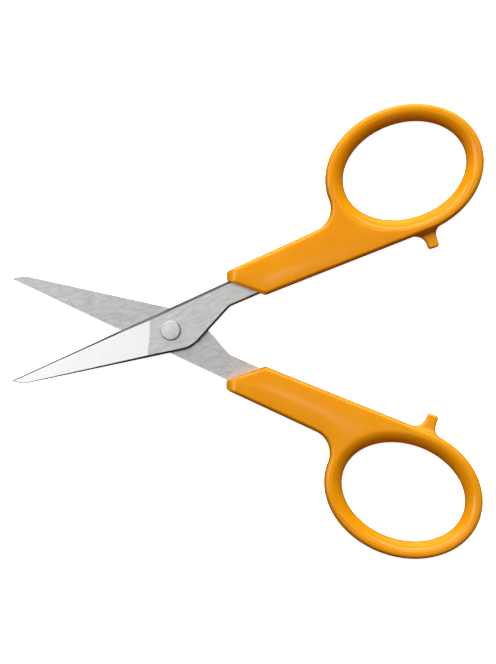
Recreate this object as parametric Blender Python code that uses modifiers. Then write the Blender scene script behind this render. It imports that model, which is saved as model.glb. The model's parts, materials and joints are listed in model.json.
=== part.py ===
"""Small needlework scissors for snipping thread, lying flat and partly open.

Two stamped steel halves cross at a rivet, and each carries a moulded handle with
one finger loop. The two halves are the same shape: the rear one is the front one
turned over about the long axis. Each half is drawn in its own closed frame, with
the pivot at the origin, the tip towards -X and the handle towards +X, and its
parent empty on the pivot axis opens it.

World frame: metres, +X from the tips to the loops, +Z up, and the origin on the
ground under the middle of the object's box.
"""

import math

import bmesh
import bpy
from mathutils import Matrix, Vector

MM = 0.001

# Driving dimensions, in millimetres and degrees.
HALF_OPENING = 17.8
HANDLE_THICKNESS = 6.0
BLADE_THICKNESS = 1.5
BLADE_GAP = 0.1
CLEARANCE = 0.05

# Straight edges of one half: the angle of the edge, and its distance from the pivot.
TIP_REACH = 33.95
CUTTING_EDGE = (7.1, 4.2)
SPINE = (-5.6, -4.42)
HEEL = (30.2, -5.65)
NECK = (5.8, -0.35)
TIP_FACE_ANGLE = -30.3
TIP_RADIUS = 0.12
TIP_BACK_RADIUS = 4.0
HEEL_RADIUS = 6.5
NECK_RADIUS = 2.0

# Grinding on the outer face: a long taper, and a steep relief along every edge.
GRIND_START = (72.2, 4.23)
TIP_THICKNESS = 0.45
RELIEF_WIDTH = 0.5
RELIEF_DEPTH = 1.2

# Tang inside the handle, held by two moulded posts through its holes.
TANG_END = 35.0
TANG_CORNER = 1.5
POST_RADIUS = 0.95
POST_STATIONS = (23.5, 30.5)

# Handle outline, in the same closed frame.
HANDLE_BACK = (7.0, 6.155)
NOSE_FACE = (72.2, -11.35)
MOUTH_FACE = (-37.3, 13.2)
BELLY_ANGLE = 3.93
LOOP_CENTRE = (54.98, 16.54)
LOOP_TILT = 2.5
HOLE_LONG = 12.85
HOLE_SHORT = 9.57
LOOP_WALL = 3.6
LOOP_LAND = 1.4
SHOULDER_RADIUS = 4.8
EDGE_ROUNDING = 0.7

# Closing stop on the loop, which meets its twin when the scissors shut.
STOP_SIDES = (54.8, 57.06)
STOP_END = -0.21
STOP_FILLETS = (2.5, 2.0)
STOP_RIGHT_TANGENT = 14.5
STOP_SUNK = 0.06
STOP_ROOT_LENGTH = 3.2
STOP_THICKNESS = 2.8
STOP_ROUNDING = 0.5

# Rivet, turned and then peened on the rear face.
RIVET_RADIUS = 1.3
RIVET_HEAD_RADIUS = 2.0
PEENED_HEAD_RADIUS = 1.8
HEAD_HEIGHT = 0.7

LOOP_STEPS = 60
ARC_STEP = 9.0
BLADE_OUTER_FACE = BLADE_GAP / 2 + BLADE_THICKNESS

STEEL = (0.62, 0.62, 0.61, 1.0)
RIVET_STEEL = (0.72, 0.72, 0.71, 1.0)
ORANGE = (0.85, 0.33, 0.02, 1.0)


def direction(angle):
    """Unit vector at an angle in degrees."""
    return Vector((math.cos(math.radians(angle)), math.sin(math.radians(angle))))


def normal(angle):
    """Unit vector a quarter turn ahead of an angle in degrees."""
    return direction(angle + 90)


def meet(first, second):
    """Point where two edges cross, each given as its angle and distance from the pivot."""
    a = normal(first[0])
    b = normal(second[0])
    spread = a.x * b.y - a.y * b.x
    return Vector(((first[1] * b.y - second[1] * a.y) / spread, (second[1] * a.x - first[1] * b.x) / spread))


def through(point, angle):
    """Edge at an angle that passes through a point."""
    return (angle, normal(angle).dot(point))


def shifted(edge, distance):
    """The same edge moved sideways."""
    return (edge[0], edge[1] + distance)


def arc(centre, radius, start, end):
    """Points round an arc, in steps of at most ARC_STEP degrees."""
    steps = max(2, math.ceil(abs(end - start) / ARC_STEP))
    return [centre + radius * direction(start + (end - start) * i / steps) for i in range(steps + 1)]


def rounded(corners):
    """Closed outline from (point, radius) corners, each rounded by a tangent arc."""
    outline = []
    for i, (point, radius) in enumerate(corners):
        if not radius:
            outline.append(point)
            continue
        before = (corners[i - 1][0] - point).normalized()
        after = (corners[(i + 1) % len(corners)][0] - point).normalized()
        half_angle = before.angle(after) / 2
        centre = point + (before + after).normalized() * (radius / math.sin(half_angle))
        start = point + before * (radius / math.tan(half_angle)) - centre
        end = point + after * (radius / math.tan(half_angle)) - centre
        first = math.degrees(math.atan2(start.y, start.x))
        turn = math.degrees(math.atan2(end.y, end.x)) - first
        turn = (turn + 180) % 360 - 180
        outline.extend(arc(centre, radius, first, first + turn))
    return outline


def circle(centre, radius, steps=32):
    """Points of a full circle."""
    return [centre + radius * direction(360 * i / steps) for i in range(steps)]


def collection(name):
    """New collection in the scene."""
    group = bpy.data.collections.new(name)
    bpy.context.scene.collection.children.link(group)
    return group


def material(name, colour, metallic, roughness):
    """Principled material."""
    made = bpy.data.materials.new(name)
    made.use_nodes = True
    shader = made.node_tree.nodes["Principled BSDF"]
    shader.inputs["Base Color"].default_value = colour
    shader.inputs["Metallic"].default_value = metallic
    shader.inputs["Roughness"].default_value = roughness
    return made


def add_object(name, mesh, group, parent=None):
    """Object for a mesh, linked to one collection."""
    made = bpy.data.objects.new(name, mesh)
    group.objects.link(made)
    made.parent = parent
    return made


def plate(name, outlines, low, high, group, parent):
    """Flat plate between two heights, from its outline and any holes."""
    curve = bpy.data.curves.new(name + "_outline", "CURVE")
    curve.dimensions = "2D"
    curve.fill_mode = "BOTH"
    curve.extrude = (high - low) / 2 * MM
    for outline in outlines:
        spline = curve.splines.new("POLY")
        spline.points.add(len(outline) - 1)
        spline.use_cyclic_u = True
        for point, place in zip(spline.points, outline):
            point.co = (place.x * MM, place.y * MM, 0, 1)
    drawn = add_object(name + "_outline", curve, group)
    bpy.context.view_layer.update()
    mesh = bpy.data.meshes.new_from_object(drawn.evaluated_get(bpy.context.evaluated_depsgraph_get()))
    mesh.transform(Matrix.Translation((0, 0, (low + high) / 2 * MM)))
    bpy.data.objects.remove(drawn)
    work = bmesh.new()
    work.from_mesh(mesh)
    bmesh.ops.remove_doubles(work, verts=work.verts, dist=0.001 * MM)
    bmesh.ops.dissolve_limit(work, angle_limit=math.radians(0.1), verts=work.verts, edges=work.edges)
    bmesh.ops.recalc_face_normals(work, faces=work.faces)
    work.to_mesh(mesh)
    work.free()
    return add_object(name, mesh, group, parent)


def block(name, size, matrix, group, parent):
    """Box cutter of a size in millimetres, placed in its half's frame."""
    work = bmesh.new()
    bmesh.ops.create_cube(work, size=1, matrix=matrix @ Matrix.Diagonal((*size, 1)))
    bmesh.ops.scale(work, verts=work.verts, vec=(MM, MM, MM))
    mesh = bpy.data.meshes.new(name)
    work.to_mesh(mesh)
    work.free()
    return as_cutter(add_object(name, mesh, group, parent))


def as_cutter(piece):
    """Keep a piece out of the model, as a tool for a Boolean."""
    piece.hide_render = True
    piece.display_type = "WIRE"
    return piece


def combine(piece, tool, operation):
    """Boolean of one piece with a tool."""
    step = piece.modifiers.new(tool.name, "BOOLEAN")
    step.object = tool
    step.operation = operation
    step.solver = "EXACT"


def round_edges(piece, width, segments):
    """Rounded edges on a piece's sharp corners."""
    step = piece.modifiers.new("rounding", "BEVEL")
    step.width = width * MM
    step.segments = segments
    step.limit_method = "ANGLE"
    step.angle_limit = math.radians(30)


def finish_piece(piece, surface):
    """Give a piece its material, smooth where it is round."""
    piece.data.materials.clear()
    piece.data.materials.append(surface)
    piece.data.shade_smooth()
    piece.data.set_sharp_from_angle(angle=math.radians(25))


def tip_point():
    """End of the cutting edge."""
    run = math.sqrt(TIP_REACH**2 - CUTTING_EDGE[1] ** 2)
    return normal(CUTTING_EDGE[0]) * CUTTING_EDGE[1] - direction(CUTTING_EDGE[0]) * run


def blade_outline():
    """Plan of one steel half, from the tip round the tang."""
    tip = tip_point()
    tip_face = through(tip, TIP_FACE_ANGLE)
    tang_end = through(Vector((TANG_END, 0)), 90)
    return rounded(
        [
            (tip, TIP_RADIUS),
            (meet(tip_face, SPINE), TIP_BACK_RADIUS),
            (meet(SPINE, HEEL), HEEL_RADIUS),
            (meet(HEEL, NECK), NECK_RADIUS),
            (meet(NECK, tang_end), TANG_CORNER),
            (meet(CUTTING_EDGE, tang_end), TANG_CORNER),
        ]
    )


def post_centre(station):
    """Middle of the tang at a distance along the half."""
    across = through(Vector((station, 0)), 90)
    return (meet(CUTTING_EDGE, across) + meet(NECK, across)) / 2


def relief_cutter(name, edge_angle, start, end, group, parent):
    """Box whose side face grinds the relief along one edge, outside on its left."""
    width = 6.0
    height = 6.0
    lean = math.atan2(RELIEF_WIDTH, RELIEF_DEPTH)
    middle = (start + end) / 2
    foot = BLADE_OUTER_FACE - RELIEF_DEPTH
    matrix = (
        Matrix.Translation((middle.x, middle.y, foot))
        @ Matrix.Rotation(math.radians(edge_angle), 4, "Z")
        @ Matrix.Rotation(lean, 4, "X")
        @ Matrix.Translation((0, width / 2, 0))
    )
    return block(name, ((end - start).length, width, height), matrix, group, parent)


def grind_cutter(name, group, parent):
    """Box whose underside grinds the long taper towards the tip."""
    length = 80.0
    height = 6.0
    angle, offset = GRIND_START
    run = -normal(angle).dot(tip_point()) + offset
    slope = math.atan2(BLADE_THICKNESS - TIP_THICKNESS, abs(run))
    foot = normal(angle) * offset
    matrix = (
        Matrix.Translation((foot.x, foot.y, BLADE_OUTER_FACE))
        @ Matrix.Rotation(math.radians(angle - 90), 4, "Z")
        @ Matrix.Rotation(-slope, 4, "Y")
        @ Matrix.Translation((0, 0, height / 2))
    )
    return block(name, (length, length, height), matrix, group, parent)


def make_blade(name, surface, group, tools, parent):
    """One stamped and ground steel half with its tang."""
    holes = [circle(Vector((0, 0)), RIVET_RADIUS + CLEARANCE, 48)]
    holes += [circle(post_centre(s), POST_RADIUS + CLEARANCE) for s in POST_STATIONS]
    blade = plate(name, [blade_outline(), *holes], BLADE_GAP / 2, BLADE_OUTER_FACE, group, parent)

    reach = direction(CUTTING_EDGE[0]) * 90.0
    on_edge = normal(CUTTING_EDGE[0]) * CUTTING_EDGE[1]
    heel_corner = meet(SPINE, HEEL)
    neck_corner = meet(HEEL, NECK)
    runs = {
        "edge": (CUTTING_EDGE[0], on_edge - reach, on_edge + reach),
        "spine": (SPINE[0] + 180, heel_corner - direction(SPINE[0]) * 60, heel_corner + direction(SPINE[0]) * 8),
        "heel": (HEEL[0] + 180, heel_corner - direction(HEEL[0]) * 8, neck_corner),
        "neck": (NECK[0] + 180, neck_corner, neck_corner + direction(NECK[0]) * 40),
    }
    combine(blade, grind_cutter(name + "_grind", tools, parent), "DIFFERENCE")
    for run, (angle, start, end) in runs.items():
        tool = relief_cutter(f"{name}_{run}", angle, start, end, tools, parent)
        combine(blade, tool, "DIFFERENCE")
    finish_piece(blade, surface)
    return blade


def loop_point(angle, outset):
    """Point on the loop's hole edge at an ellipse angle, moved outwards by an outset."""
    on_edge = Vector((HOLE_LONG * math.cos(angle), HOLE_SHORT * math.sin(angle)))
    outwards = Vector((math.cos(angle) / HOLE_LONG, math.sin(angle) / HOLE_SHORT)).normalized()
    turned = Matrix.Rotation(math.radians(LOOP_TILT), 2)
    return Vector(LOOP_CENTRE) + turned @ (on_edge + outwards * outset)


def loop_outwards(angle):
    """Outward normal of the loop at an ellipse angle."""
    return loop_point(angle, 1) - loop_point(angle, 0)


def solve(function, low, high):
    """Root of a falling function between two values."""
    for _ in range(50):
        middle = (low + high) / 2
        if function(middle) > 0:
            low = middle
        else:
            high = middle
    return low


def loop_touch(angle):
    """Ellipse angle, under the loop, where its wall runs at an angle in degrees."""
    return solve(lambda a: -loop_outwards(a).dot(direction(angle)), math.radians(-120), math.radians(-60))


def wall_tangent(angle):
    """Edge at an angle that touches the loop's outer wall from below."""
    return through(loop_point(loop_touch(angle), LOOP_WALL), angle)


def handle_outline():
    """Plan of one handle: nose, belly, loop, shoulder fillet and back."""
    back_normal = normal(HANDLE_BACK[0])
    touch = loop_touch(BELLY_ANGLE)
    belly = wall_tangent(BELLY_ANGLE)

    def above_back(angle):
        centre = loop_point(angle, LOOP_WALL + SHOULDER_RADIUS)
        return back_normal.dot(centre) - HANDLE_BACK[1] - SHOULDER_RADIUS

    join = solve(above_back, math.radians(150), math.radians(230))
    steps = round((join - touch) / (2 * math.pi) * LOOP_STEPS)
    loop = [loop_point(touch + (join - touch) * i / steps, LOOP_WALL) for i in range(steps + 1)]
    inwards = -loop_outwards(join)
    shoulder_start = math.degrees(math.atan2(inwards.y, inwards.x))
    shoulder_end = HANDLE_BACK[0] - 90
    shoulder = arc(loop_point(join, LOOP_WALL + SHOULDER_RADIUS), SHOULDER_RADIUS, shoulder_start, shoulder_end)
    nose = [meet(HANDLE_BACK, NOSE_FACE), meet(NOSE_FACE, MOUTH_FACE), meet(MOUTH_FACE, belly)]
    return nose + loop + shoulder[1:]


def hole_cutter(name, group, parent):
    """Spool that cuts the finger hole, flared so that its rim is rounded above and below."""
    levels = 5
    past_face = 0.1
    half = HANDLE_THICKNESS / 2
    curve_height = half + 0.2
    flare = (LOOP_WALL - LOOP_LAND) / (1 - math.sqrt(1 - (half / curve_height) ** 2))
    work = bmesh.new()
    rings = []
    for level in range(-levels, levels + 1):
        height = (half + past_face) * math.sin(level / levels * math.pi / 2)
        outset = flare * (1 - math.sqrt(1 - (height / curve_height) ** 2))
        ring = []
        for step in range(LOOP_STEPS):
            place = loop_point(2 * math.pi * step / LOOP_STEPS, outset)
            ring.append(work.verts.new((place.x * MM, place.y * MM, height * MM)))
        rings.append(ring)
    for lower, upper in zip(rings, rings[1:]):
        for step in range(LOOP_STEPS):
            after = (step + 1) % LOOP_STEPS
            work.faces.new((lower[step], lower[after], upper[after], upper[step]))
    work.faces.new(reversed(rings[0]))
    work.faces.new(rings[-1])
    mesh = bpy.data.meshes.new(name)
    work.to_mesh(mesh)
    work.free()
    return as_cutter(add_object(name, mesh, group, parent))


def stop_tool(name, group, parent):
    """Closing stop, filleted into the loop's outer wall on both sides."""
    left_side = through(Vector((STOP_SIDES[0], 0)), 90)
    right_side = through(Vector((STOP_SIDES[1], 0)), 90)
    end = (0, STOP_END)
    left = meet(left_side, shifted(wall_tangent(BELLY_ANGLE), STOP_SUNK))
    right = meet(right_side, shifted(wall_tangent(STOP_RIGHT_TANGENT), STOP_SUNK))
    left_root = left - direction(BELLY_ANGLE) * STOP_ROOT_LENGTH
    right_root = right + direction(STOP_RIGHT_TANGENT) * STOP_ROOT_LENGTH
    inside_wall = Vector((0, LOOP_WALL / 2))
    outline = rounded(
        [
            (left_root + inside_wall, 0),
            (left_root, 0),
            (left, STOP_FILLETS[0]),
            (meet(left_side, end), 0),
            (meet(right_side, end), 0),
            (right, STOP_FILLETS[1]),
            (right_root, 0),
            (right_root + inside_wall, 0),
        ]
    )
    stop = plate(name, [outline], -STOP_THICKNESS / 2, STOP_THICKNESS / 2, group, parent)
    round_edges(stop, STOP_ROUNDING, 2)
    return as_cutter(stop)


def pocket_cutter(name, group, parent):
    """Slot for the tang, open at the nose, with the moulded posts left standing."""
    before_nose = through(Vector((12.0, 0)), 90)
    end = through(Vector((TANG_END + CLEARANCE, 0)), 90)
    top = shifted(CUTTING_EDGE, CLEARANCE)
    bottom = shifted(NECK, -CLEARANCE)
    outline = rounded(
        [
            (meet(before_nose, bottom), 0),
            (meet(end, bottom), TANG_CORNER),
            (meet(end, top), TANG_CORNER),
            (meet(before_nose, top), 0),
        ]
    )
    posts = [circle(post_centre(s), POST_RADIUS) for s in POST_STATIONS]
    low = BLADE_GAP / 2 - CLEARANCE
    return as_cutter(plate(name, [outline, *posts], low, BLADE_OUTER_FACE + CLEARANCE, group, parent))


def make_handle(name, surface, group, tools, parent):
    """One moulded handle with its finger loop, closing stop and tang pocket."""
    half = HANDLE_THICKNESS / 2
    handle = plate(name, [handle_outline()], -half, half, group, parent)
    round_edges(handle, EDGE_ROUNDING, 3)
    combine(handle, hole_cutter(name + "_hole", tools, parent), "DIFFERENCE")
    combine(handle, stop_tool(name + "_stop", tools, parent), "UNION")
    combine(handle, pocket_cutter(name + "_pocket", tools, parent), "DIFFERENCE")
    finish_piece(handle, surface)
    return handle


def make_rivet(name, surface, group, parent):
    """Pivot rivet: low domed head in front, shank, and peened head behind."""
    seat = BLADE_OUTER_FACE + CLEARANCE
    top = seat + HEAD_HEIGHT
    head = [(0, top), (0.7, top - 0.01), (1.3, top - 0.06), (1.65, top - 0.16), (1.83, top - 0.32)]
    head += [(RIVET_HEAD_RADIUS, top - 0.5), (RIVET_HEAD_RADIUS - 0.04, seat), (RIVET_RADIUS, seat)]
    peened = [(RIVET_RADIUS, -seat), (PEENED_HEAD_RADIUS, -seat), (PEENED_HEAD_RADIUS, -seat - 0.3)]
    peened += [(1.5, -seat - 0.52), (0.9, 0.04 - top), (0, -top)]
    profile = head + peened
    mesh = bpy.data.meshes.new(name)
    edges = [(i, i + 1) for i in range(len(profile) - 1)]
    mesh.from_pydata([(r * MM, 0, z * MM) for r, z in profile], edges, [])
    rivet = add_object(name, mesh, group, parent)
    turn = rivet.modifiers.new("turned", "SCREW")
    turn.steps = 48
    turn.render_steps = 48
    turn.use_merge_vertices = True
    turn.merge_threshold = 0.001 * MM
    turn.use_smooth_shade = True
    finish_piece(rivet, surface)
    return rivet


def pivot_station():
    """Distance of the pivot behind the middle of the open object's box."""
    tip = tip_point()
    opened = Matrix.Rotation(math.radians(HALF_OPENING), 2)
    outline = [opened @ place for place in handle_outline()]
    return (max(place.x for place in outline) + (opened @ tip).x) / 2


def build():
    """Make the whole object."""
    for old in list(bpy.data.objects):
        bpy.data.objects.remove(old)
    parts = collection("needlework_scissors")
    tools = collection("cutters")

    pivot = Vector((-pivot_station(), 0, HANDLE_THICKNESS / 2)) * MM
    front = add_object("front_half_axis", None, parts)
    front.location = pivot
    front.rotation_euler = (0, 0, math.radians(HALF_OPENING))
    rear = add_object("rear_half_axis", None, parts)
    rear.location = pivot
    rear.rotation_euler = (math.pi, 0, math.radians(-HALF_OPENING))
    upright = add_object("rivet_axis", None, parts)
    upright.location = pivot

    make_blade("front_blade", material("front_blade_steel", STEEL, 1.0, 0.35), parts, tools, front)
    make_blade("rear_blade", material("rear_blade_steel", STEEL, 1.0, 0.35), parts, tools, rear)
    make_handle("upper_handle", material("upper_handle_plastic", ORANGE, 0.0, 0.25), parts, tools, front)
    make_handle("lower_handle", material("lower_handle_plastic", ORANGE, 0.0, 0.25), parts, tools, rear)
    make_rivet("pivot_rivet", material("rivet_steel", RIVET_STEEL, 1.0, 0.3), parts, upright)


build()
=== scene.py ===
"""Looks of the needlework scissors: moulded orange handles, ground steel halves and a turned rivet.

Each half is drawn in its own closed frame, as in the CAD: millimetres, the pivot at the origin,
the tip towards -X, the handle towards +X and the meeting plane of the blades at z = 0. The
packed joint gives the pivot and how far the halves stand open. The rear half is the front one
turned over, so both halves share their meshes.
"""

import json
import math

import bmesh
import bpy
import numpy as np
from mathutils import Matrix, Vector
from mathutils.geometry import delaunay_2d_cdt


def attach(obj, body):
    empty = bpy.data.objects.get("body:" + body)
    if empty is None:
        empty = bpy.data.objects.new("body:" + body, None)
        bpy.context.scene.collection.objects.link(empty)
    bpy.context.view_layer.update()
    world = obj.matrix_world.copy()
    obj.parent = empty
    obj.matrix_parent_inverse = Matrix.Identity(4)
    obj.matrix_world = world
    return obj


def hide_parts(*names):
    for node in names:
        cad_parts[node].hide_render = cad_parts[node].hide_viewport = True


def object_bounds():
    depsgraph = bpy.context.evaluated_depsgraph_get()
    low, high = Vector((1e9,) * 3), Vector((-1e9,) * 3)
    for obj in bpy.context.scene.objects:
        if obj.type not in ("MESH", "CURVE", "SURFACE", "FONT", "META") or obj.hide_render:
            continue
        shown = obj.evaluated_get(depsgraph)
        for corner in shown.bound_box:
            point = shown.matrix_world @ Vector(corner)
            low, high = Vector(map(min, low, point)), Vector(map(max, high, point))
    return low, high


MM = 0.001

# Sizes shared by the whole half, in millimetres and degrees.
HALF_OPENING = 17.8
HANDLE_THICKNESS = 6.0
BLADE_THICKNESS = 1.5
BLADE_GAP = 0.1
BLADE_OUTER_FACE = BLADE_GAP / 2 + BLADE_THICKNESS
TANG_FIT = 0.02

# Steel half. An edge is its angle, and its distance from the pivot along its normal.
TIP_REACH = 33.95
CUTTING_EDGE = (7.1, 4.2)
SPINE = (-5.6, -4.42)
HEEL = (30.2, -5.65)
NECK = (5.8, -0.35)
TIP_FACE_ANGLE = -30.3
TIP_RADIUS = 0.12
TIP_BACK_RADIUS = 4.0
HEEL_RADIUS = 6.5
NECK_RADIUS = 2.0
TANG_END = 35.0
TANG_CORNER = 1.5
POST_RADIUS = 0.95
POST_STATIONS = (23.5, 30.5)
RIVET_HOLE_RADIUS = 1.35

# Grinding on the outer face: a long taper, and a relief along every edge, which is steep
# except along the cutting edge.
GRIND_START = (72.2, 4.23)
GRIND_BEND = 0.3
GRIND_BEND_FROM = 0.4
GRIND_BEND_RUN = 3.2
GRIND_BEND_STEPS = 14
GRIND_SIDE_REACH = 12.0
GRIND_REACHES = (-6.0, 46.0)
GRIND_CUTTER_TOP = 8.0
TIP_THICKNESS = 0.45
RELIEF_WIDTH = 0.42
RELIEF_DEPTH = 1.2
SHEAR_LEAN = 0.04
EDGE_RELIEF_WIDTH = 0.58
EDGE_RELIEF_DEPTH = 0.5
EDGE_SHEAR_LEAN = 0.13
EDGE_BREAK = 0.03
PUNCH_HEIGHTS = (-1.0, 3.0)

# Handle outline.
HANDLE_BACK = (7.0, 6.155)
NOSE_FACE = (72.2, -11.35)
MOUTH_FACE = (-37.3, 13.2)
BELLY_ANGLE = 3.93
LOOP_CENTRE = (54.98, 16.54)
LOOP_TILT = 2.5
HOLE_LONG = 12.85
HOLE_SHORT = 9.57
LOOP_WALL = 3.59
SHOULDER_RADIUS = 4.8
NOSE_CORNERS = (0.95, 0.9, 1.1)
LOOP_STEPS = 170

# Handle section.
CROWN = 0.16
CROWN_REACH = 4.2
EDGE_ROUNDING = 0.68
NOSE_EDGE_ROUNDING = 0.55
NOSE_EDGE_END = 2.5
NOSE_EDGE_FADE = 6.0
MOUTH_ROUNDING = 0.14
MOUTH_FADE = 0.3
NOSE_ROUNDING = 2.0
DRAFT = 0.15
SEAM_HALF_WIDTH = 0.06
SEAM_STEP = 0.035
SPOOL_FLARE = 3.7
SPOOL_HEIGHT = 3.13
SPOOL_WALL = 0.7
SPOOL_REACH = 2.35
CREST_TIGHT = 0.1
CREST_SOFT = 0.22
CREST_SOFT_BEARING = 20
NO_HOLE_NEAR = 99.0
OUTLINE_STEP = 0.4
WEB_STEP = 0.45
EDGE_FILLET_STEPS = 12
HOLE_STEPS = 190
SPOOL_STEPS = 26

# Closing stop on the loop.
STOP_SIDES = (54.8, 57.06)
STOP_END = -0.21
STOP_FILLETS = (2.5, 2.0)
STOP_RIGHT_TANGENT = 14.5
STOP_SUNK = 0.06
STOP_ROOT_LENGTH = 3.6
STOP_THICKNESS = 2.8
STOP_CORNER = 0.55
STOP_ROUNDING = 0.5
STOP_ROOT_RADIUS = 0.9
STOP_ROOT_OVERLAP = 0.08
STOP_OUTLINE_STEP = 0.18
STOP_SKIN_STEP = 0.2
STOP_FILLET_STEPS = 6
STOP_HOLE_STEPS = 400

# Rivet.
RIVET_RADIUS = 1.3
RIVET_HEAD_RADIUS = 2.0
PEENED_HEAD_RADIUS = 1.8
HEAD_HEIGHT = 0.7
HEAD_SEAT = BLADE_OUTER_FACE + 0.05
HEAD_RIM_RADIUS = 0.22
HEAD_DOME = 0.035
HEAD_DOME_STEPS = 8

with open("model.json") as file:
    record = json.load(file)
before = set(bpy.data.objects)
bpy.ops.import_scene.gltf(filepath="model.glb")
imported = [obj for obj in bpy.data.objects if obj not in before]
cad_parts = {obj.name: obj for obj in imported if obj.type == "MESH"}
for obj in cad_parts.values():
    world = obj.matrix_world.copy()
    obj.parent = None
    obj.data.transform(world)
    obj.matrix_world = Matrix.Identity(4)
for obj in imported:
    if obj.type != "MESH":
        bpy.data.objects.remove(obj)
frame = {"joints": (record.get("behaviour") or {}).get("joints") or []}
cad_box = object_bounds()


# ---------------------------------------------------------------- plane geometry


def direction(angle):
    """Unit vector at an angle in degrees."""
    return Vector((math.cos(math.radians(angle)), math.sin(math.radians(angle))))


def normal(angle):
    """Unit vector a quarter turn ahead of an angle in degrees."""
    return direction(angle + 90)


def meet(first, second):
    """Point where two edges cross, each given as its angle and distance from the pivot."""
    a = normal(first[0])
    b = normal(second[0])
    spread = a.x * b.y - a.y * b.x
    x = (first[1] * b.y - second[1] * a.y) / spread
    y = (second[1] * a.x - first[1] * b.x) / spread
    return Vector((x, y))


def through(point, angle):
    """Edge at an angle that passes through a point."""
    return (angle, normal(angle).dot(point))


def shifted(edge, distance):
    """The same edge moved sideways."""
    return (edge[0], edge[1] + distance)


def arc(centre, radius, start, end, step=4.0):
    """Points round an arc, in steps of at most a few degrees."""
    steps = max(2, math.ceil(abs(end - start) / step))
    return [centre + radius * direction(start + (end - start) * i / steps) for i in range(steps + 1)]


def circle(centre, radius, steps=64):
    """Points of a full circle."""
    return [centre + radius * direction(360 * i / steps) for i in range(steps)]


def rounded(corners):
    """Closed outline from (point, radius) corners, each rounded by a tangent arc."""
    outline = []
    for i, (point, radius) in enumerate(corners):
        if not radius:
            outline.append(point)
            continue
        before = (corners[i - 1][0] - point).normalized()
        after = (corners[(i + 1) % len(corners)][0] - point).normalized()
        half_angle = before.angle(after) / 2
        centre = point + (before + after).normalized() * (radius / math.sin(half_angle))
        start = point + before * (radius / math.tan(half_angle)) - centre
        end = point + after * (radius / math.tan(half_angle)) - centre
        first = math.degrees(math.atan2(start.y, start.x))
        turn = math.degrees(math.atan2(end.y, end.x)) - first
        turn = (turn + 180) % 360 - 180
        outline.extend(arc(centre, radius, first, first + turn))
    return outline


def subdivided(outline, step):
    """Closed outline as an array, with long straight runs divided."""
    places = []
    for here, after in zip(outline, outline[1:] + outline[:1]):
        run = after - here
        if run.length < 1e-6:
            continue
        count = max(1, round(run.length / step))
        places.extend(here + run * (i / count) for i in range(count))
    return np.array([tuple(p) for p in places])


def outward(points):
    """Mitred outward normals of a counter-clockwise closed outline."""
    run = np.roll(points, -1, 0) - points
    run /= np.linalg.norm(run, axis=1)[:, None]
    sides = np.stack((run[:, 1], -run[:, 0]), 1)
    before = np.roll(sides, 1, 0)
    return (sides + before) / (1 + (sides * before).sum(1))[:, None]


def distance_to(points, outline):
    """Distance from each point to a closed outline."""
    start = outline[None]
    run = (np.roll(outline, -1, 0) - outline)[None]
    away = points[:, None] - start
    along = np.clip((away * run).sum(2) / (run * run).sum(2), 0, 1)
    return np.linalg.norm(away - run * along[..., None], axis=2).min(1)


def inside(points, outline):
    """Whether each point lies inside a closed outline."""
    x, y = points[:, :1], points[:, 1:]
    ax, ay = outline[:, 0], outline[:, 1]
    bx, by = np.roll(ax, -1), np.roll(ay, -1)
    spans = (ay > y) != (by > y)
    rise = np.where(by == ay, 1.0, by - ay)
    crossings = spans & (x < (bx - ax) * (y - ay) / rise + ax)
    return crossings.sum(1) % 2 == 1


def rounding_drop(distance, radius):
    """How far a rounded edge lies below its face, at a distance inside the edge."""
    short = np.clip(radius - distance, 0, radius)
    return radius - np.sqrt(radius**2 - short**2)


def smooth_min(first, second, width):
    """Smaller of two heights, blended where they come within a width of each other."""
    near = np.clip(1 - np.abs(first - second) / width, 0, 1)
    return np.minimum(first, second) - near**2 * width / 4


# ---------------------------------------------------------------- solids


def new_object(name, mesh, placement=None):
    """Object for a mesh, placed in the world."""
    made = bpy.data.objects.new(name, mesh)
    bpy.context.scene.collection.objects.link(made)
    if placement is not None:
        made.matrix_world = placement
    return made


def mesh_from(name, work):
    """Mesh in metres from a bmesh in millimetres."""
    bmesh.ops.scale(work, verts=work.verts, vec=(MM, MM, MM))
    mesh = bpy.data.meshes.new(name)
    work.to_mesh(mesh)
    work.free()
    return mesh


def with_modifiers(piece):
    """Mesh of a piece with its modifiers applied; the piece is removed."""
    bpy.context.view_layer.update()
    graph = bpy.context.evaluated_depsgraph_get()
    mesh = bpy.data.meshes.new_from_object(piece.evaluated_get(graph))
    bpy.data.objects.remove(piece)
    return mesh


def plate(name, outlines, low, high):
    """Flat plate between two heights, from its outline and any holes."""
    curve = bpy.data.curves.new(name + "_outline", "CURVE")
    curve.dimensions = "2D"
    curve.fill_mode = "BOTH"
    curve.extrude = (high - low) / 2 * MM
    for outline in outlines:
        spline = curve.splines.new("POLY")
        spline.points.add(len(outline) - 1)
        spline.use_cyclic_u = True
        for point, place in zip(spline.points, outline):
            point.co = (place.x * MM, place.y * MM, 0, 1)
    mesh = with_modifiers(new_object(name + "_outline", curve))
    mesh.transform(Matrix.Translation((0, 0, (low + high) / 2 * MM)))
    work = bmesh.new()
    work.from_mesh(mesh)
    bmesh.ops.remove_doubles(work, verts=work.verts, dist=0.001 * MM)
    bmesh.ops.dissolve_limit(work, angle_limit=math.radians(0.1), verts=work.verts, edges=work.edges)
    bmesh.ops.recalc_face_normals(work, faces=work.faces)
    work.to_mesh(mesh)
    work.free()
    return new_object(name, mesh)


def combined(piece, tools, operation):
    """Piece after a Boolean with each tool; the tools are removed."""
    name = piece.name
    for tool in tools:
        step = piece.modifiers.new(tool.name, "BOOLEAN")
        step.object = tool
        step.operation = operation
        step.solver = "EXACT"
    mesh = with_modifiers(piece)
    for tool in tools:
        bpy.data.objects.remove(tool)
    return new_object(name, mesh)


def stitched(work, rings):
    """Quads between successive closed rings of vertices, the surface on the rings' left."""
    for lower, upper in zip(rings, rings[1:]):
        for i in range(len(lower)):
            j = (i + 1) % len(lower)
            work.faces.new((lower[i], lower[j], upper[j], upper[i]))


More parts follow.
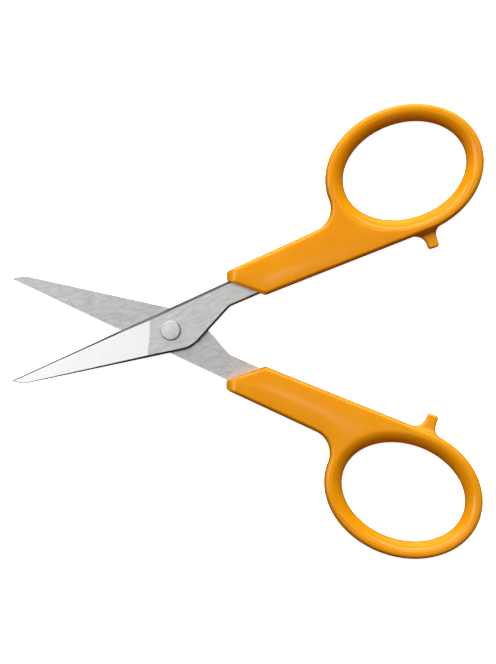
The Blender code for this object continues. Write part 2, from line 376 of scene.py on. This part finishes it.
def grid_within(border, rim, step):
    """Staggered grid of points inside a border and outside an optional rim, clear of both."""
    low, high = border.min(0), border.max(0)
    rows = np.arange(low[1], high[1], step * 0.866)
    columns = np.arange(low[0], high[0], step)
    grid = np.array([(x + step / 2 * (i % 2), y) for i, y in enumerate(rows) for x in columns])
    grid = grid[inside(grid, border)]
    grid = grid[distance_to(grid, border) > step * 0.6]
    if rim is not None:
        grid = grid[~inside(grid, rim)]
        grid = grid[distance_to(grid, rim) > step * 0.6]
    return grid


def skin_between(work, outer, hole, height, step):
    """Fine triangles between the innermost outline ring and an optional hole ring."""
    border = np.array([v.co[:2] for v in outer])
    rim = np.array([v.co[:2] for v in hole]) if hole else None
    grid = grid_within(border, rim, step)
    verts = list(outer) + list(hole or [])
    verts += [work.verts.new((x, y, z)) for (x, y), z in zip(grid, height(grid))]
    places = [Vector(v.co[:2]) for v in verts]
    loops = [(0, len(outer)), (len(outer), len(outer) + len(hole or []))]
    edges = [(i, i + 1 if i + 1 < b else a) for a, b in loops for i in range(a, b)]
    _, _, faces, origins, _, _ = delaunay_2d_cdt(places, edges, [], 0, 1e-7)
    corners = np.array([[places[origins[i][0]] for i in face] for face in faces])
    sides = corners[:, 1:] - corners[:, :1]
    areas = np.abs(sides[:, 0, 0] * sides[:, 1, 1] - sides[:, 0, 1] * sides[:, 1, 0])
    has_area = areas > 1e-4 * (sides**2).sum((1, 2))
    keep = has_area & inside(corners.mean(1), border)
    if hole:
        keep &= ~inside(corners.mean(1), rim)
    for face, kept in zip(faces, keep):
        if kept:
            work.faces.new([verts[origins[i][0]] for i in face])


def mirrored_solid(name, work):
    """Closed solid from its upper half, whose open edges lie on the middle plane."""
    bmesh.ops.mirror(work, geom=work.verts[:] + work.edges[:] + work.faces[:], merge_dist=1e-5, axis="Z")
    bmesh.ops.recalc_face_normals(work, faces=work.faces)
    return new_object(name, mesh_from(name, work))


# ---------------------------------------------------------------- handle


def loop_point(angle, outset):
    """Point on the loop's hole edge at an ellipse angle, moved outwards by an outset."""
    on_edge = Vector((HOLE_LONG * math.cos(angle), HOLE_SHORT * math.sin(angle)))
    outwards = Vector((math.cos(angle) / HOLE_LONG, math.sin(angle) / HOLE_SHORT)).normalized()
    turned = Matrix.Rotation(math.radians(LOOP_TILT), 2)
    return Vector(LOOP_CENTRE) + turned @ (on_edge + outwards * outset)


def loop_outwards(angle):
    """Outward normal of the loop at an ellipse angle."""
    return loop_point(angle, 1) - loop_point(angle, 0)


def solve(function, low, high):
    """Root of a falling function between two values."""
    for _ in range(50):
        middle = (low + high) / 2
        if function(middle) > 0:
            low = middle
        else:
            high = middle
    return low


def loop_touch(angle):
    """Ellipse angle, under the loop, where its wall runs at an angle in degrees."""
    along = direction(angle)
    return solve(lambda a: -loop_outwards(a).dot(along), math.radians(-120), math.radians(-60))


def wall_tangent(angle):
    """Edge at an angle that touches the loop's outer wall from below."""
    return through(loop_point(loop_touch(angle), LOOP_WALL), angle)


def handle_outline():
    """Plan of one handle: nose, belly, loop, shoulder fillet and back."""
    touch = loop_touch(BELLY_ANGLE)
    start = loop_point(touch, LOOP_WALL)
    belly = wall_tangent(BELLY_ANGLE)

    def above_back(angle):
        centre = loop_point(angle, LOOP_WALL + SHOULDER_RADIUS)
        return normal(HANDLE_BACK[0]).dot(centre) - HANDLE_BACK[1] - SHOULDER_RADIUS

    join = solve(above_back, math.radians(150), math.radians(230))
    sweep = join - touch
    loop = [loop_point(touch + sweep * i / LOOP_STEPS, LOOP_WALL) for i in range(LOOP_STEPS + 1)]
    inwards = -loop_outwards(join)
    shoulder_start = math.degrees(math.atan2(inwards.y, inwards.x))
    shoulder_centre = loop_point(join, LOOP_WALL + SHOULDER_RADIUS)
    shoulder = arc(shoulder_centre, SHOULDER_RADIUS, shoulder_start, HANDLE_BACK[0] - 90)
    nose = [meet(HANDLE_BACK, NOSE_FACE), meet(NOSE_FACE, MOUTH_FACE), meet(MOUTH_FACE, belly)]
    corners = [(shoulder[-1], 0), *zip(nose, NOSE_CORNERS), (start, 0)]
    return rounded(corners)[1:-1] + loop + shoulder[1:]


def behind_nose(points):
    """Distance of each point behind the nose face."""
    return np.maximum(NOSE_FACE[1] - points @ np.array(normal(NOSE_FACE[0])), 0)


def edge_radius(points):
    """Rounding of the outline's edge: tighter about the nose."""
    share = np.clip((behind_nose(points) - NOSE_EDGE_END) / NOSE_EDGE_FADE, 0, 1)
    return NOSE_EDGE_ROUNDING + (EDGE_ROUNDING - NOSE_EDGE_ROUNDING) * share


def mouth_share(points):
    """1 on the slanting mouth face, falling to 0 round its corners."""
    from_face = np.abs(points @ np.array(normal(MOUTH_FACE[0])) - MOUTH_FACE[1])
    return np.clip(1 - from_face / MOUTH_FADE, 0, 1)


def crest_width(points):
    """Blend at the loop's crest: tight against the web, soft on the far side of the loop."""
    away = points - np.array(LOOP_CENTRE)
    bearing = np.arctan2(away[:, 1], away[:, 0])
    far = 0.5 + 0.5 * np.cos(bearing - math.radians(CREST_SOFT_BEARING))
    return CREST_TIGHT + (CREST_SOFT - CREST_TIGHT) * far**1.5


def handle_height(points, inset, offset):
    """Upper skin above the middle plane, from the distances to the outline and to the hole's edge."""
    crown = CROWN * (1 - np.clip(inset / CROWN_REACH, 0, 1)) ** 2
    radius = edge_radius(points)
    radius += (MOUTH_ROUNDING - radius) * mouth_share(points)
    edge = rounding_drop(inset, radius)
    nose = rounding_drop(behind_nose(points), NOSE_ROUNDING)
    land = HANDLE_THICKNESS / 2 - crown - np.maximum(edge, nose)
    reach = 1 - np.clip(offset, 0, SPOOL_FLARE) / SPOOL_FLARE
    spool = SPOOL_WALL + (SPOOL_HEIGHT - SPOOL_WALL) * np.sqrt(1 - reach**2)
    return smooth_min(land, spool, crest_width(points))


def ring(work, points, levels):
    """Vertices round a closed outline at given heights."""
    return [work.verts.new((x, y, z)) for (x, y), z in zip(points, np.broadcast_to(levels, len(points)))]


def handle_body():
    """Moulded handle without its stop and tang slot."""
    work = bmesh.new()
    outline = subdivided(handle_outline(), OUTLINE_STEP)
    normals = outward(outline)
    far = np.full(len(outline), NO_HOLE_NEAR)
    wall_top = handle_height(outline, np.zeros(len(outline)), far)
    rings = [ring(work, outline, 0)]
    rings.append(ring(work, outline, SEAM_HALF_WIDTH))
    rings.append(ring(work, outline - normals * SEAM_STEP, SEAM_HALF_WIDTH * 1.4))
    for share in (0.5, 1.0):
        inset = SEAM_STEP + (DRAFT - SEAM_STEP) * share
        rings.append(ring(work, outline - normals * inset, wall_top * share))
    for i in range(1, EDGE_FILLET_STEPS + 1):
        inset = edge_radius(outline) * (1 - math.cos(i / EDGE_FILLET_STEPS * math.pi / 2))
        places = outline - normals * (DRAFT + inset[:, None])
        rings.append(ring(work, places, handle_height(places, inset, far)))
    stitched(work, rings)

    angles = np.linspace(0, 2 * math.pi, HOLE_STEPS, endpoint=False)
    last_angle = math.acos(1 - SPOOL_REACH / SPOOL_FLARE)
    hole = [ring(work, spool_ring(angles, 0), 0), ring(work, spool_ring(angles, 0), SEAM_HALF_WIDTH)]
    for i in range(SPOOL_STEPS + 1):
        reach = last_angle * i / SPOOL_STEPS
        offset = SPOOL_FLARE * (1 - math.cos(reach))
        places = spool_ring(angles, offset + SEAM_STEP * (1 - offset / SPOOL_REACH))
        to_outline = distance_to(places, outline) - DRAFT
        hole.append(ring(work, places, handle_height(places, to_outline, np.full(len(angles), offset))))
    stitched(work, [list(reversed(r)) for r in hole])

    edge = spool_ring(angles, 0)

    def web_height(points):
        return handle_height(points, distance_to(points, outline) - DRAFT, distance_to(points, edge))

    skin_between(work, rings[-1], hole[-1], web_height, WEB_STEP)
    return mirrored_solid("handle_body", work)


def spool_ring(angles, offset):
    """Closed ring round the hole at an offset from its edge."""
    return np.array([tuple(loop_point(a, offset)) for a in angles])


def stop_body():
    """Closing stop, filleted into the loop's outer wall in plan and in thickness."""
    left_side = through(Vector((STOP_SIDES[0], 0)), 90)
    right_side = through(Vector((STOP_SIDES[1], 0)), 90)
    end = (0, STOP_END)
    left = meet(left_side, shifted(wall_tangent(BELLY_ANGLE), STOP_SUNK))
    right = meet(right_side, shifted(wall_tangent(STOP_RIGHT_TANGENT), STOP_SUNK))
    left_root = left - direction(BELLY_ANGLE) * STOP_ROOT_LENGTH
    right_root = right + direction(STOP_RIGHT_TANGENT) * STOP_ROOT_LENGTH
    inside_wall = Vector((0, LOOP_WALL / 2))
    corners = [
        (left_root + inside_wall, STOP_CORNER),
        (left_root, STOP_CORNER),
        (left, STOP_FILLETS[0]),
        (meet(left_side, end), STOP_CORNER),
        (meet(right_side, end), STOP_CORNER),
        (right, STOP_FILLETS[1]),
        (right_root, STOP_CORNER),
        (right_root + inside_wall, STOP_CORNER),
    ]
    outline = subdivided(rounded(corners), STOP_OUTLINE_STEP)
    normals = outward(outline)
    edge = spool_ring(np.linspace(0, 2 * math.pi, STOP_HOLE_STEPS, endpoint=False), 0)

    def height(points, inset=STOP_ROUNDING):
        from_wall = np.maximum(distance_to(points, edge) - LOOP_WALL + STOP_ROOT_OVERLAP, 0)
        root = rounding_drop(from_wall, STOP_ROOT_RADIUS)
        return STOP_THICKNESS / 2 + root - rounding_drop(inset, STOP_ROUNDING)

    work = bmesh.new()
    wall_top = height(outline, 0.0)
    rings = [ring(work, outline, 0), ring(work, outline, wall_top / 2), ring(work, outline, wall_top)]
    for i in range(1, STOP_FILLET_STEPS + 1):
        inset = STOP_ROUNDING * (1 - math.cos(i / STOP_FILLET_STEPS * math.pi / 2))
        places = outline - normals * inset
        rings.append(ring(work, places, height(places, inset)))
    stitched(work, rings)
    skin_between(work, rings[-1], None, height, STOP_SKIN_STEP)
    return mirrored_solid("stop_body", work)


def tang_slot():
    """Slot for the tang, open at the nose, with the moulded posts left standing."""
    before_nose = through(Vector((11.0, 0)), 90)
    end = through(Vector((TANG_END + TANG_FIT, 0)), 90)
    top = shifted(CUTTING_EDGE, TANG_FIT)
    bottom = shifted(NECK, -TANG_FIT)
    outline = rounded(
        [
            (meet(before_nose, bottom), 0),
            (meet(end, bottom), TANG_CORNER),
            (meet(end, top), TANG_CORNER),
            (meet(before_nose, top), 0),
        ]
    )
    posts = [circle(post_centre(s), POST_RADIUS) for s in POST_STATIONS]
    return plate("tang_slot", [outline, *posts], BLADE_GAP / 2 - TANG_FIT, BLADE_OUTER_FACE + TANG_FIT)


def handle_mesh():
    """Finished handle in its half's frame."""
    handle = combined(handle_body(), [stop_body()], "UNION")
    handle = combined(handle, [tang_slot()], "DIFFERENCE")
    mesh = with_modifiers(handle)
    mesh.shade_smooth()
    mesh.set_sharp_from_angle(angle=math.radians(38))
    return mesh


# ---------------------------------------------------------------- steel


def tip_point():
    """End of the cutting edge."""
    run = math.sqrt(TIP_REACH**2 - CUTTING_EDGE[1] ** 2)
    return normal(CUTTING_EDGE[0]) * CUTTING_EDGE[1] - direction(CUTTING_EDGE[0]) * run


def blade_outline(inset, edge_inset):
    """Plan of one steel half moved inwards, the cutting edge on its own, from the tip round the tang."""
    tip_face = shifted(through(tip_point(), TIP_FACE_ANGLE), inset)
    tang_end = shifted(through(Vector((TANG_END, 0)), 90), inset)
    cutting_edge = shifted(CUTTING_EDGE, -edge_inset)
    spine = shifted(SPINE, inset)
    heel = shifted(HEEL, inset)
    neck = shifted(NECK, inset)
    return rounded(
        [
            (meet(tip_face, cutting_edge), max(TIP_RADIUS - inset, 0.01)),
            (meet(tip_face, spine), TIP_BACK_RADIUS - inset),
            (meet(spine, heel), HEEL_RADIUS - inset),
            (meet(heel, neck), NECK_RADIUS + inset),
            (meet(neck, tang_end), TANG_CORNER - inset),
            (meet(cutting_edge, tang_end), TANG_CORNER - inset),
        ]
    )


def post_centre(station):
    """Middle of the tang at a distance along the half."""
    across = through(Vector((station, 0)), 90)
    return (meet(CUTTING_EDGE, across) + meet(NECK, across)) / 2


def relief_depth(point):
    """Depth of the relief's foot: shallow along the cutting edge, steep along the spine."""
    return EDGE_RELIEF_DEPTH if point.y > 0 else RELIEF_DEPTH


def blade_blank():
    """Stamped plate with a relief ground along its whole outline, before the taper."""
    foot = blade_outline(SHEAR_LEAN, EDGE_SHEAR_LEAN)
    land = blade_outline(RELIEF_WIDTH, EDGE_RELIEF_WIDTH)
    work = bmesh.new()
    rings = [[work.verts.new((p.x, p.y, BLADE_GAP / 2)) for p in blade_outline(0.0, 0.0)]]
    rings.append([work.verts.new((p.x, p.y, BLADE_OUTER_FACE - relief_depth(p))) for p in foot])
    rings.append([work.verts.new((p.x, p.y, BLADE_OUTER_FACE)) for p in land])
    stitched(work, rings)
    work.faces.new(reversed(rings[0]))
    work.faces.new(rings[-1])
    bmesh.ops.recalc_face_normals(work, faces=work.faces)
    return new_object("blade", mesh_from("blade", work))


def grind_cutter():
    """Block whose underside is the ground taper: flat across, easing off towards the spine."""
    angle, offset = GRIND_START
    run = normal(angle).dot(tip_point()) - offset
    slope = (BLADE_THICKNESS - TIP_THICKNESS) / run
    across = direction(angle + 180)
    along = normal(angle)
    bent = np.linspace(GRIND_BEND_FROM, GRIND_BEND_FROM + GRIND_BEND_RUN, GRIND_BEND_STEPS)
    stations = [-GRIND_SIDE_REACH, *bent, GRIND_SIDE_REACH]
    work = bmesh.new()
    rows = []
    for reach in GRIND_REACHES:
        row = []
        for station in stations:
            bend = GRIND_BEND * (max(0.0, station - GRIND_BEND_FROM) / GRIND_BEND_RUN) ** 2
            bend = min(bend, GRIND_BEND * 2)
            place = along * (offset + reach) + across * station
            row.append(work.verts.new((place.x, place.y, BLADE_OUTER_FACE - slope * (reach - bend))))
        rows.append(row)
    tops = [[work.verts.new((v.co.x, v.co.y, GRIND_CUTTER_TOP)) for v in (row[0], row[-1])] for row in rows]
    for near, far in zip(zip(rows[0], rows[0][1:]), zip(rows[1], rows[1][1:])):
        work.faces.new((near[0], near[1], far[1], far[0]))
    work.faces.new([*rows[0], tops[0][1], tops[0][0]])
    work.faces.new([*rows[1], tops[1][1], tops[1][0]])
    work.faces.new((rows[0][0], rows[1][0], tops[1][0], tops[0][0]))
    work.faces.new((rows[0][-1], rows[1][-1], tops[1][1], tops[0][1]))
    work.faces.new((tops[0][0], tops[0][1], tops[1][1], tops[1][0]))
    bmesh.ops.recalc_face_normals(work, faces=work.faces)
    return new_object("grind", mesh_from("grind", work))


def blade_mesh():
    """Stamped and ground steel half in its half's frame."""
    holes = [(Vector((0, 0)), RIVET_HOLE_RADIUS)]
    holes += [(post_centre(s), POST_RADIUS + TANG_FIT) for s in POST_STATIONS]
    tools = [plate(f"hole_{i}", [circle(*hole)], *PUNCH_HEIGHTS) for i, hole in enumerate(holes)]
    blade = combined(blade_blank(), [grind_cutter(), *tools], "DIFFERENCE")
    edges = blade.modifiers.new("edges", "BEVEL")
    edges.width = EDGE_BREAK * MM
    edges.segments = 2
    edges.limit_method = "ANGLE"
    edges.angle_limit = math.radians(30)
    mesh = with_modifiers(blade)
    zone_faces(mesh)
    mesh.shade_smooth()
    mesh.set_sharp_from_angle(angle=math.radians(1.5))
    return mesh


# The edge zone's dark grey steel is painted shade on the steep faces.
ZONES = ("brushed", "ground", "inner", "edge")


def zone_faces(mesh):
    """Mark the faces of a steel half by the side they lie on and how they were worked."""
    flat = math.cos(math.radians(12))
    level = math.cos(math.radians(0.5))
    for face in mesh.polygons:
        up = face.normal.z
        if up < -flat:
            face.material_index = ZONES.index("inner")
        # Steep faces take the dark edge steel: painted shade.
        elif up < flat:
            face.material_index = ZONES.index("edge")
        elif up < level:
            face.material_index = ZONES.index("ground")


def rivet_mesh():
    """Rivet turned about its axis: domed head in front, peened head behind."""
    top = HEAD_SEAT + HEAD_HEIGHT
    dome_edge = RIVET_HEAD_RADIUS - HEAD_RIM_RADIUS
    profile = [(0.0, top)]
    for i in range(1, HEAD_DOME_STEPS + 1):
        reach = i / HEAD_DOME_STEPS
        profile.append((dome_edge * reach, top - HEAD_DOME * reach**2))
    rim_centre = Vector((dome_edge, top - HEAD_DOME - HEAD_RIM_RADIUS))
    profile += [tuple(place) for place in arc(rim_centre, HEAD_RIM_RADIUS, 84, 0, 8)]
    profile += [
        (RIVET_HEAD_RADIUS - 0.03, HEAD_SEAT + 0.03),
        (RIVET_HEAD_RADIUS - 0.1, HEAD_SEAT),
        (RIVET_RADIUS, HEAD_SEAT),
        (RIVET_RADIUS, -HEAD_SEAT),
    ]
    # The peened head, from its seat over its bulge to the dimple in its middle.
    profile += [
        (PEENED_HEAD_RADIUS - 0.08, -HEAD_SEAT),
        (PEENED_HEAD_RADIUS, -HEAD_SEAT - 0.08),
        (PEENED_HEAD_RADIUS - 0.02, -HEAD_SEAT - 0.26),
        (1.62, -HEAD_SEAT - 0.42),
        (1.3, -HEAD_SEAT - 0.55),
        (0.9, -HEAD_SEAT - 0.62),
        (0.62, -top + 0.02),
        (0.5, -top + 0.1),
        (0.0, -top + 0.14),
    ]
    mesh = bpy.data.meshes.new("rivet")
    edges = [(i, i + 1) for i in range(len(profile) - 1)]
    mesh.from_pydata([(r * MM, 0, z * MM) for r, z in profile], edges, [])
    rivet = new_object("rivet_profile", mesh)
    turn = rivet.modifiers.new("turned", "SCREW")
    turn.steps = 96
    turn.render_steps = 96
    turn.use_merge_vertices = True
    turn.merge_threshold = 0.001 * MM
    turned = with_modifiers(rivet)
    turned.shade_smooth()
    turned.set_sharp_from_angle(angle=math.radians(40))
    return turned


# ---------------------------------------------------------------- materials


DRAWN_PLACE = "drawn_place"


def placed(mesh, placement):
    """Copy of a mesh moved to the world, which keeps where each point was drawn as an attribute."""
    made = mesh.copy()
    places = np.zeros(len(made.vertices) * 3, np.float32)
    made.vertices.foreach_get("co", places)
    made.attributes.new(DRAWN_PLACE, "FLOAT_VECTOR", "POINT").data.foreach_set("vector", places)
    made.transform(placement)
    return made


class Shader:
    """Node material with a few short helpers."""

    def __init__(self, name):
        self.material = bpy.data.materials.new(name)
        self.material.use_nodes = True
        self.tree = self.material.node_tree
        self.principled = self.tree.nodes["Principled BSDF"]
        self.place = self.node("ShaderNodeAttribute", attribute_name=DRAWN_PLACE).outputs["Vector"]

    def node(self, kind, **values):
        """New node, with input values and settings by name."""
        made = self.tree.nodes.new(kind)
        for key, value in values.items():
            if key in made.inputs:
                made.inputs[key].default_value = value
            else:
                setattr(made, key, value)
        return made

    def link(self, output, target):
        """Link from an output to an input."""
        self.tree.links.new(output, target)

    def set(self, **values):
        """Constant values of the surface, named with _ for each space."""
        for key, value in values.items():
            self.principled.inputs[key.replace("_", " ")].default_value = value

    def noise(self, scale, stretch=(1, 1, 1), turn=0.0, detail=2.0, roughness=0.5):
        """Noise stretched along an axis turned in the half's plane; the scale is per metre."""
        mapping = self.node("ShaderNodeMapping")
        mapping.inputs["Scale"].default_value = stretch
        turned = self.node("ShaderNodeVectorRotate", rotation_type="Z_AXIS", Angle=math.radians(turn))
        self.link(self.place, turned.inputs["Vector"])
        self.link(turned.outputs["Vector"], mapping.inputs["Vector"])
        made = self.node("ShaderNodeTexNoise", Scale=scale, Detail=detail, Roughness=roughness)
        self.link(mapping.outputs["Vector"], made.inputs["Vector"])
        return made.outputs["Fac"]

    def ranged(self, value, low, high, start=0.3, end=0.7):
        """Value from one range mapped to another."""
        made = self.node("ShaderNodeMapRange")
        self.link(value, made.inputs["Value"])
        made.inputs["From Min"].default_value = start
        made.inputs["From Max"].default_value = end
        made.inputs["To Min"].default_value = low
        made.inputs["To Max"].default_value = high
        return made.outputs["Result"]

    def mixed(self, factor, first, second):
        """Colour between two colours."""
        made = self.node("ShaderNodeMix", data_type="RGBA")
        self.link(factor, made.inputs["Factor"])
        made.inputs["A"].default_value = (*first, 1)
        made.inputs["B"].default_value = (*second, 1)
        return made.outputs["Result"]

    def summed(self, *values):
        """Sum of values."""
        total = values[0]
        for value in values[1:]:
            made = self.node("ShaderNodeMath", operation="ADD")
            self.link(total, made.inputs[0])
            self.link(value, made.inputs[1])
            total = made.outputs[0]
        return total

    def bump(self, height, depth):
        """Surface relief of a depth in metres."""
        made = self.node("ShaderNodeBump", Strength=1.0, Distance=depth)
        self.link(height, made.inputs["Height"])
        self.link(made.outputs["Normal"], self.principled.inputs["Normal"])


def handle_plastic():
    """Glossy moulded orange, slightly deeper and paler in broad patches, with a faint flow texture."""
    made = Shader("handle_plastic_orange")
    patches = made.noise(130, detail=2.0)
    orange = made.mixed(made.ranged(patches, 0, 1), (0.835, 0.306, 0.001), (0.865, 0.338, 0.002))
    made.link(orange, made.principled.inputs["Base Color"])
    satin = made.noise(900, detail=3.0)
    made.link(made.ranged(satin, 0.11, 0.15), made.principled.inputs["Roughness"])
    made.bump(made.noise(1600, detail=2.0), 0.000004)
    made.set(IOR=1.46, Specular_IOR_Level=0.36)
    made.set(Subsurface_Weight=0.15, Subsurface_Radius=(1.0, 0.1, 0.03), Subsurface_Scale=0.0013)
    return made.material


def grey(level, blue):
    """Near-neutral grey, with its blue given on its own."""
    return (level, level, blue)


def steel(name, dark, light, roughness, grain, relief):
    """Worked steel: streaks of a grain, each as (noise scale, stretch, turn)."""
    made = Shader(name)
    streaks = [made.noise(scale, stretch, turn, 3.0) for scale, stretch, turn in grain]
    average = made.node("ShaderNodeMath", operation="MULTIPLY")
    made.link(made.summed(*streaks), average.inputs[0])
    average.inputs[1].default_value = 1 / len(streaks)
    mean = average.outputs[0]
    colour = made.mixed(made.ranged(mean, 0, 1, 0.35, 0.65), dark, light)
    made.link(colour, made.principled.inputs["Base Color"])
    made.link(made.ranged(mean, *roughness, 0.35, 0.65), made.principled.inputs["Roughness"])
    made.bump(mean, relief)
    made.set(Metallic=1.0)
    return made.material


ACROSS = (1, 0.03, 1)


def brushed_steel():
    """Flat stock, brushed along the half."""
    grain = [(9000, (0.04, 1, 1), -6), (4500, (0.05, 1, 1), -9), (5000, (0.12, 1, 1), -4)]
    dark, light = grey(0.42, 0.417), grey(0.68, 0.675)
    return steel("blade_steel_brushed", dark, light, (0.52, 0.42), grain, 0.000004)


def ground_steel():
    """Bright taper, ground across the blade."""
    turn = 90 - GRIND_START[0]
    grain = [(9000, ACROSS, turn), (2500, ACROSS, turn)]
    dark, light = grey(0.735, 0.732), grey(0.755, 0.752)
    return steel("blade_steel_ground", dark, light, (0.43, 0.41), grain, 0.000001)


def inner_steel():
    """Flat inner face, lapped in two crossing directions."""
    grain = [(6000, (0.06, 1, 1), 40), (6000, (0.06, 1, 1), -35), (1500, (0.3, 1, 1), 20)]
    dark, light = grey(0.40, 0.398), grey(0.60, 0.596)
    return steel("blade_steel_lapped", dark, light, (0.56, 0.46), grain, 0.000003)


def edge_steel_painted_shade():
    """Relief faces and sheared edges, in a dark grey that is painted shade on these steep faces."""
    grain = [(5000, (1, 1, 0.05), 0), (1500, (0.4, 1, 1), 10)]
    # Dark grey base: painted shade for the steep faces.
    dark, light = grey(0.20, 0.20), grey(0.27, 0.27)
    return steel("blade_steel_edge_painted_shade", dark, light, (0.45, 0.38), grain, 0.000004)


def rivet_steel():
    """Turned rivet with fine marks across its head."""
    grain = [(7000, (0.08, 1, 1), 40), (2500, (0.3, 1, 1), 70)]
    dark, light = grey(0.52, 0.518), grey(0.68, 0.676)
    return steel("rivet_steel_turned", dark, light, (0.50, 0.40), grain, 0.000004)


# ---------------------------------------------------------------- object


def half_placements():
    """World placements of the front and rear halves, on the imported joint."""
    pivot = Matrix.Translation(frame["joints"][0]["pos_m"])
    opening = math.radians(HALF_OPENING)
    front = pivot @ Matrix.Rotation(opening, 4, "Z")
    rear = pivot @ Matrix.Rotation(-opening, 4, "Z") @ Matrix.Rotation(math.pi, 4, "X")
    return front, rear


def add_piece(name, mesh, placement, node, body, materials):
    """Piece that stands for a CAD node and rides on its body."""
    piece = new_object(name, placed(mesh, placement))
    for surface in materials:
        piece.data.materials.append(surface)
    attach(piece, body)
    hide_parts(node)
    return piece


def build_object():
    """Both halves and the rivet."""
    front, rear = half_placements()
    handle = handle_mesh()
    blade = blade_mesh()
    plastic = [handle_plastic()]
    # The last steel, on the steep faces, is painted shade.
    steels = [brushed_steel(), ground_steel(), inner_steel(), edge_steel_painted_shade()]
    add_piece("upper_handle_moulding", handle, front, "upper_handle", "front_half", plastic)
    add_piece("lower_handle_moulding", handle, rear, "lower_handle", "rear_half", plastic)
    add_piece("front_blade_ground", blade, front, "front_blade", "front_half", steels)
    add_piece("rear_blade_ground", blade, rear, "rear_blade", "rear_half", steels)
    upright = Matrix.Translation(frame["joints"][0]["pos_m"])
    rivet = rivet_mesh()
    turned = [rivet_steel()]
    add_piece("pivot_rivet_turned", rivet, upright, "pivot_rivet", "rear_half", turned)


# ---------------------------------------------------------------- studio

LENS = 200.0
SENSOR = 36.0
VIEW_HEIGHT = 0.13464
VIEW_CENTRE = (0.000012, -0.000274)
VIEW_ROLL = 0.00356
WHITE = (1.0, 1.0, 1.0)
WARM = (1.0, 0.48, 0.28)
ROOM_STRENGTH = 0.03
FLOOR_HALF_SIZE = 3.0
FLOOR_DROP = 0.0001


def add_camera():
    """Long lens straight above the object."""
    low, high = cad_box
    middle = (low + high) / 2
    distance = VIEW_HEIGHT * LENS / SENSOR
    data = bpy.data.cameras.new("camera")
    data.lens = LENS
    data.sensor_width = SENSOR
    camera = bpy.data.objects.new("camera", data)
    bpy.context.scene.collection.objects.link(camera)
    camera.location = (middle.x + VIEW_CENTRE[0], middle.y + VIEW_CENTRE[1], middle.z + distance)
    camera.rotation_euler = (0, 0, VIEW_ROLL)
    bpy.context.scene.camera = camera


def add_softbox(name, bearing, elevation, distance, size, power, fill=True, gloss=True, colour=WHITE):
    """Area light of a (width, height) size, aimed at the object from a bearing and an elevation.

    Bearing 0 is +X and 90 is +Y. It can fill, show in reflections, or both.
    """
    data = bpy.data.lights.new(name, "AREA")
    data.shape = "RECTANGLE"
    data.size, data.size_y = size
    data.energy = power
    data.color = colour
    light = bpy.data.objects.new(name, data)
    bpy.context.scene.collection.objects.link(light)
    level = direction(bearing) * math.cos(math.radians(elevation))
    away = Vector((level.x, level.y, math.sin(math.radians(elevation))))
    light.location = away * distance
    light.rotation_euler = away.to_track_quat("Z", "Y").to_euler()
    light.visible_camera = False
    light.visible_diffuse = fill
    light.visible_glossy = gloss


def add_floor():
    """Plain floor, self-lit to white. It neither lights nor shades the object, nor shows in it."""
    work = bmesh.new()
    bmesh.ops.create_grid(work, x_segments=8, y_segments=8, size=FLOOR_HALF_SIZE)
    mesh = bpy.data.meshes.new("floor")
    work.to_mesh(mesh)
    work.free()
    floor = new_object("floor", mesh, Matrix.Translation((0, 0, cad_box[0].z - FLOOR_DROP)))
    surface = bpy.data.materials.new("floor_white")
    surface.use_nodes = True
    shader = surface.node_tree.nodes["Principled BSDF"]
    shader.inputs["Base Color"].default_value = (0.9, 0.9, 0.9, 1)
    shader.inputs["Roughness"].default_value = 0.9
    shader.inputs["Specular IOR Level"].default_value = 0.0
    shader.inputs["Emission Color"].default_value = (*WHITE, 1)
    shader.inputs["Emission Strength"].default_value = 0.95
    mesh.materials.append(surface)
    floor.visible_diffuse = False
    floor.visible_glossy = False
    floor.visible_shadow = False


def add_studio():
    """Softboxes all round, a dim room, and the floor.

    The key and the warm bounce only fill. The strip, glint, patch, right and left only show in
    reflections. The low one and the sheen do both, and the low one reaches below the floor.
    """
    add_softbox("key", 100, 38, 1.4, (2.3, 0.8), 38.5, gloss=False)
    add_softbox("strip", 100, 43, 1.3, (2.1, 0.15), 7.5, fill=False)
    add_softbox("bounce", -85, 30, 1.2, (1.5, 0.6), 2.2, gloss=False, colour=WARM)
    add_softbox("low", 95, -3, 1.4, (2.1, 0.88), 15.5)
    add_softbox("glint", 105, 68, 0.8, (0.56, 0.09), 1.3, fill=False)
    add_softbox("sheen", 270, 88, 0.8, (0.5, 0.5), 0.22)
    add_softbox("patch", -44, 87.8, 0.8, (0.03, 0.03), 0.022, fill=False)
    add_softbox("right", 33, 64, 0.8, (0.2, 0.12), 0.35, fill=False)
    add_softbox("left", 176, 58, 0.8, (0.34, 0.5), 2.0, fill=False)
    world = bpy.data.worlds.new("room")
    world.use_nodes = True
    background = world.node_tree.nodes["Background"]
    background.inputs["Color"].default_value = (*WHITE, 1)
    background.inputs["Strength"].default_value = ROOM_STRENGTH
    bpy.context.scene.world = world
    bpy.context.scene.view_settings.view_transform = "Standard"
    add_floor()


add_camera()
build_object()
add_studio()
